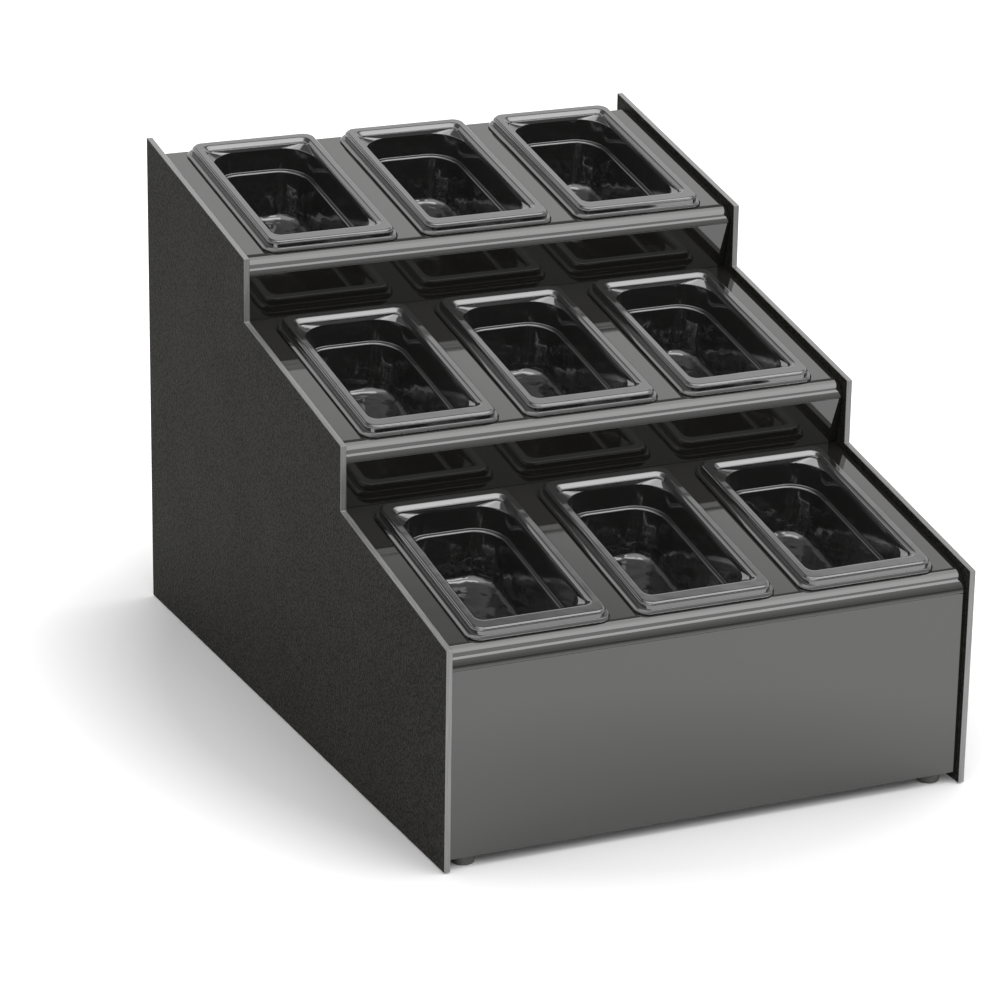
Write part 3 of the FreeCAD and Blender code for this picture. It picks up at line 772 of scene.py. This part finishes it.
# %% Floor
def floor_finish():
    material = bpy.data.materials.new("studio_floor")
    material.use_nodes = True
    tree = material.node_tree
    tree.nodes.clear()
    where = tree.nodes.new("ShaderNodeTexCoord").outputs["Object"]
    split = tree.nodes.new("ShaderNodeSeparateXYZ")
    tree.links.new(where, split.inputs[0])
    away = tree.nodes.new("ShaderNodeVectorMath")
    away.operation = "LENGTH"
    tree.links.new(stretched(tree, where, (1, 0.78, 1)), away.inputs[0])
    path = tree.nodes.new("ShaderNodeLightPath").outputs

    in_front = add_range(tree, split.outputs["Y"], low=0.15, high=1.0, start=-1.3, end=-0.6)
    paper_end = add_math(tree, "MAXIMUM", in_front, path["Is Camera Ray"])
    far_glow = add_range(tree, away.outputs["Value"], low=0.0, high=0.4, start=0.27, end=0.42)
    mirrored = add_math(tree, "MAXIMUM", path["Is Glossy Ray"], path["Is Transmission Ray"])
    seen = add_math(tree, "MAXIMUM", path["Is Camera Ray"], mirrored)

    paper = tree.nodes.new("ShaderNodeBsdfDiffuse")
    fibres = add_noise(tree, where, scale=900, detail=3)
    tint = add_colours(tree, fibres, (0.87, 0.87, 0.87), (0.9, 0.9, 0.9))
    shade = tree.nodes.new("ShaderNodeVectorMath")
    shade.operation = "SCALE"
    tree.links.new(tint, shade.inputs[0])
    tree.links.new(paper_end, shade.inputs["Scale"])
    tree.links.new(shade.outputs[0], paper.inputs["Color"])

    glow = tree.nodes.new("ShaderNodeEmission")
    strength = add_math(tree, "MULTIPLY", add_math(tree, "MULTIPLY", far_glow, paper_end), seen)
    tree.links.new(strength, glow.inputs["Strength"])
    lit = tree.nodes.new("ShaderNodeAddShader")
    tree.links.new(paper.outputs[0], lit.inputs[0])
    tree.links.new(glow.outputs[0], lit.inputs[1])
    output = tree.nodes.new("ShaderNodeOutputMaterial")
    tree.links.new(lit.outputs[0], output.inputs["Surface"])
    return material


FLOOR_HALF = 12.0
floor_mesh = bpy.data.meshes.new("floor")
floor_mesh.from_pydata([(-FLOOR_HALF, -FLOOR_HALF, 0), (FLOOR_HALF, -FLOOR_HALF, 0),
                        (FLOOR_HALF, FLOOR_HALF, 0), (-FLOOR_HALF, FLOOR_HALF, 0)],
                       [], [(0, 1, 2, 3)])
floor_mesh.materials.append(floor_finish())
floor = new_piece("floor", floor_mesh)
floor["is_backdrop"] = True
print("floor:", 2 * FLOOR_HALF, "m square")

# %% [markdown]
# The world is the room. Behind the stand the white backdrop reaches up to about forty degrees and then
# stops, which is why the front strips of the shelves look darker than the back ones. In front the room
# is greyer and brightens slowly towards the ceiling.

# %% World
# Each stop is a height, as the sine of the angle above the floor, and the grey there.
BACKDROP = [(0.0, 1.25), (0.4, 1.2), (0.58, 1.2), (0.615, 1.15), (0.642, 0.85), (0.662, 0.42), (0.7, 0.25)]
ROOM = [(0.0, 0.5), (0.13, 0.55), (0.26, 0.75), (0.45, 1.0), (0.65, 1.3)]


def add_stops(tree, factor, stops):
    """A grey ramp through any number of (place, grey) stops."""
    node = tree.nodes.new("ShaderNodeValToRGB")
    ramp = node.color_ramp
    while len(ramp.elements) < len(stops):
        ramp.elements.new(1.0)
    for element, (place, grey) in zip(ramp.elements, stops):
        element.position = place
        element.color = (grey, grey, grey, 1)
    tree.links.new(factor, node.inputs["Fac"])
    return node.outputs["Color"]


world = bpy.data.worlds.new("studio")
bpy.context.scene.world = world
world.use_nodes = True
sky = world.node_tree
towards = sky.nodes.new("ShaderNodeTexCoord")
split = sky.nodes.new("ShaderNodeSeparateXYZ")
sky.links.new(towards.outputs["Generated"], split.inputs[0])
back_wall = add_stops(sky, split.outputs["Z"], BACKDROP)
front_room = add_stops(sky, split.outputs["Z"], ROOM)
behind = add_range(sky, split.outputs["Y"], low=0.0, high=1.0, start=-0.15, end=0.15)
round_about = sky.nodes.new("ShaderNodeMix")
sky.links.new(behind, round_about.inputs["Factor"])
sky.links.new(front_room, round_about.inputs["A"])
sky.links.new(back_wall, round_about.inputs["B"])
sky.links.new(round_about.outputs["Result"], sky.nodes["Background"].inputs["Color"])
sky.nodes["Background"].inputs["Strength"].default_value = 1.0
print("world:", world.name)

# %% Lights
LIGHT_TARGET = Vector((0, 0, 0.2))


def soft_light(name, towards, distance, width, length, brightness):
    """A rectangular soft light in a direction from the stand; brightness 1 would look white in a mirror."""
    data = bpy.data.lights.new(name, "AREA")
    data.shape = "RECTANGLE"
    data.size = width
    data.size_y = length
    data.energy = brightness * math.pi * width * length
    light = bpy.data.objects.new(name, data)
    bpy.context.scene.collection.objects.link(light)
    direction = Vector(towards).normalized()
    light.location = LIGHT_TARGET + direction * distance
    light.rotation_euler = (-direction).to_track_quat("-Z", "Y").to_euler()


soft_light("top_softbox", (0.30, -0.06, 0.95), distance=2.4, width=2.0, length=2.0, brightness=1.9)
soft_light("front_softbox", (0.40, -0.74, 0.54), distance=2.6, width=1.6, length=0.5, brightness=2.4)
print("lights:", len(bpy.data.lights))

# %% [markdown]
# ## Camera
#
# The photograph was taken with a long lens from the front left, a little above the stand. The camera
# looks at a point near the middle of the stand and is rolled by just under a degree.

# %% Camera
CAMERA_TARGET = Vector((-0.0250, 0.0170, 0.1455))
CAMERA_AZIMUTH = math.radians(24.80)
CAMERA_ELEVATION = math.radians(19.37)
CAMERA_DISTANCE = 3.025
CAMERA_ROLL = math.radians(0.89)
CAMERA_LENS = 146.2

backwards = Vector((
    -math.sin(CAMERA_AZIMUTH) * math.cos(CAMERA_ELEVATION),
    -math.cos(CAMERA_AZIMUTH) * math.cos(CAMERA_ELEVATION),
    math.sin(CAMERA_ELEVATION),
))
camera_data = bpy.data.cameras.new("camera")
camera_data.lens = CAMERA_LENS
camera_data.sensor_width = 36
camera_data.clip_end = 100
camera = bpy.data.objects.new("camera", camera_data)
bpy.context.scene.collection.objects.link(camera)
level = backwards.to_track_quat("Z", "Y").to_matrix().to_4x4()
roll = Matrix.Rotation(CAMERA_ROLL, 4, "Z")
camera.matrix_world = Matrix.Translation(CAMERA_TARGET + backwards * CAMERA_DISTANCE) @ level @ roll
bpy.context.scene.camera = camera
bpy.context.scene.view_settings.view_transform = "Standard"
print("camera at", [round(value, 3) for value in camera.location])

# %% [markdown]
# ## Finish
#
# The box of the finished pieces is written next to the CAD model's own box, so that the two can be
# compared.

# %% Sizes and finish
for name, (low, high) in (("cad", cad_box), ("visual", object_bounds())):
    print(name, "box:", [round(value, 4) for value in high - low])
